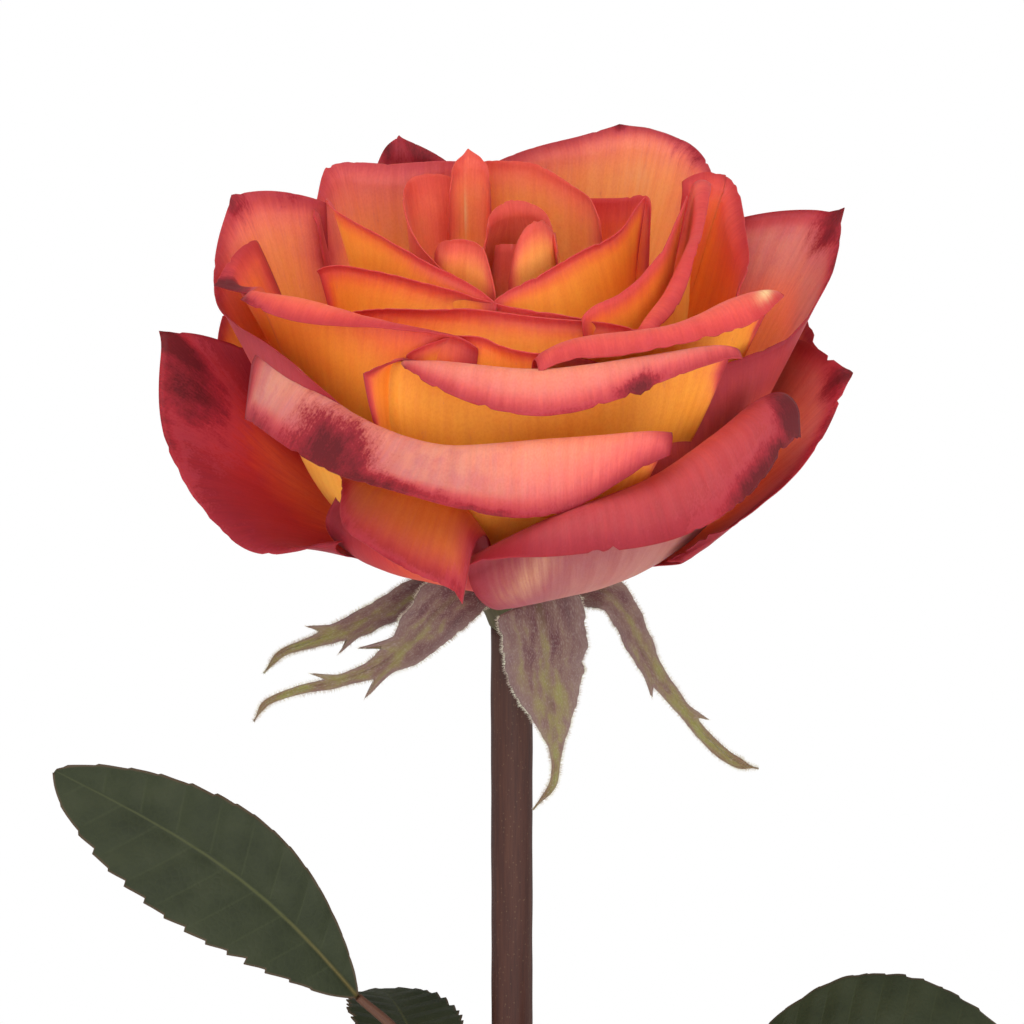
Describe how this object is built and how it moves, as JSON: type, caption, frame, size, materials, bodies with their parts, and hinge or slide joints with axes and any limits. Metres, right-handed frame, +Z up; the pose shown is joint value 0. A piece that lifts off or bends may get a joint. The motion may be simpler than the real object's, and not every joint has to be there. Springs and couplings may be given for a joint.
{
  "type": "cut rose",
  "caption": "Long-stemmed cut rose lying on a surface: one large open bloom of layered rolled petals, reflexed toothed sepals, prickly stem and compound serrated leaves.",
  "frame": {"origin": "middle of the flower's underside, on the surface it lies on", "axes": "+Z up, +Y along the stem from its cut end towards the bloom, +X to the right of the bloom's front"},
  "size_m": [0.1792, 0.4032, 0.0942],
  "materials": {
    "petal": "soft satin petal, yellow to coral",
    "outer_petal": "soft satin petal, yellow to crimson",
    "sepal": "downy grey-green",
    "stem": "smooth waxy bark, brown-maroon",
    "hip": "smooth waxy, green-brown",
    "leaf": "dull leathery, dark green"
  },
  "bodies": {
    "root": {"stem": "stem", "hip": "hip", "petal_heart_core": "petal", "petal_heart_right": "petal", "petal_heart_arch": "petal", "petal_heart_left": "petal", "petal_heart_dark": "petal", "petal_heart_fold": "petal", "petal_heart_back": "petal", "petal_inner_right": "petal", "petal_inner_left": "petal", "petal_inner_back": "petal", "petal_inner_far_right": "petal", "petal_inner_front": "petal", "petal_middle_right": "petal", "petal_middle_front": "petal", "petal_middle_low": "petal", "petal_middle_back_right": "petal", "petal_middle_back_left": "petal", "petal_middle_back": "petal", "petal_front_right": "petal", "petal_front": "petal", "petal_left": "petal", "petal_left_back": "petal", "petal_right_back": "petal", "petal_back_tip": "petal", "petal_front_left_wide": "outer_petal", "petal_front_right_wide": "outer_petal", "petal_guard_front": "outer_petal", "petal_guard_right": "outer_petal", "petal_guard_left": "outer_petal", "petal_guard_back_right": "outer_petal", "petal_guard_back_left": "outer_petal", "sepal_front": "sepal", "sepal_left_upper": "sepal", "sepal_left_lower": "sepal", "sepal_right": "sepal", "sepal_back": "sepal", "leaf_left": "leaf", "leaf_right": "leaf", "leaf_low": "leaf"}
  },
  "joints": []
}
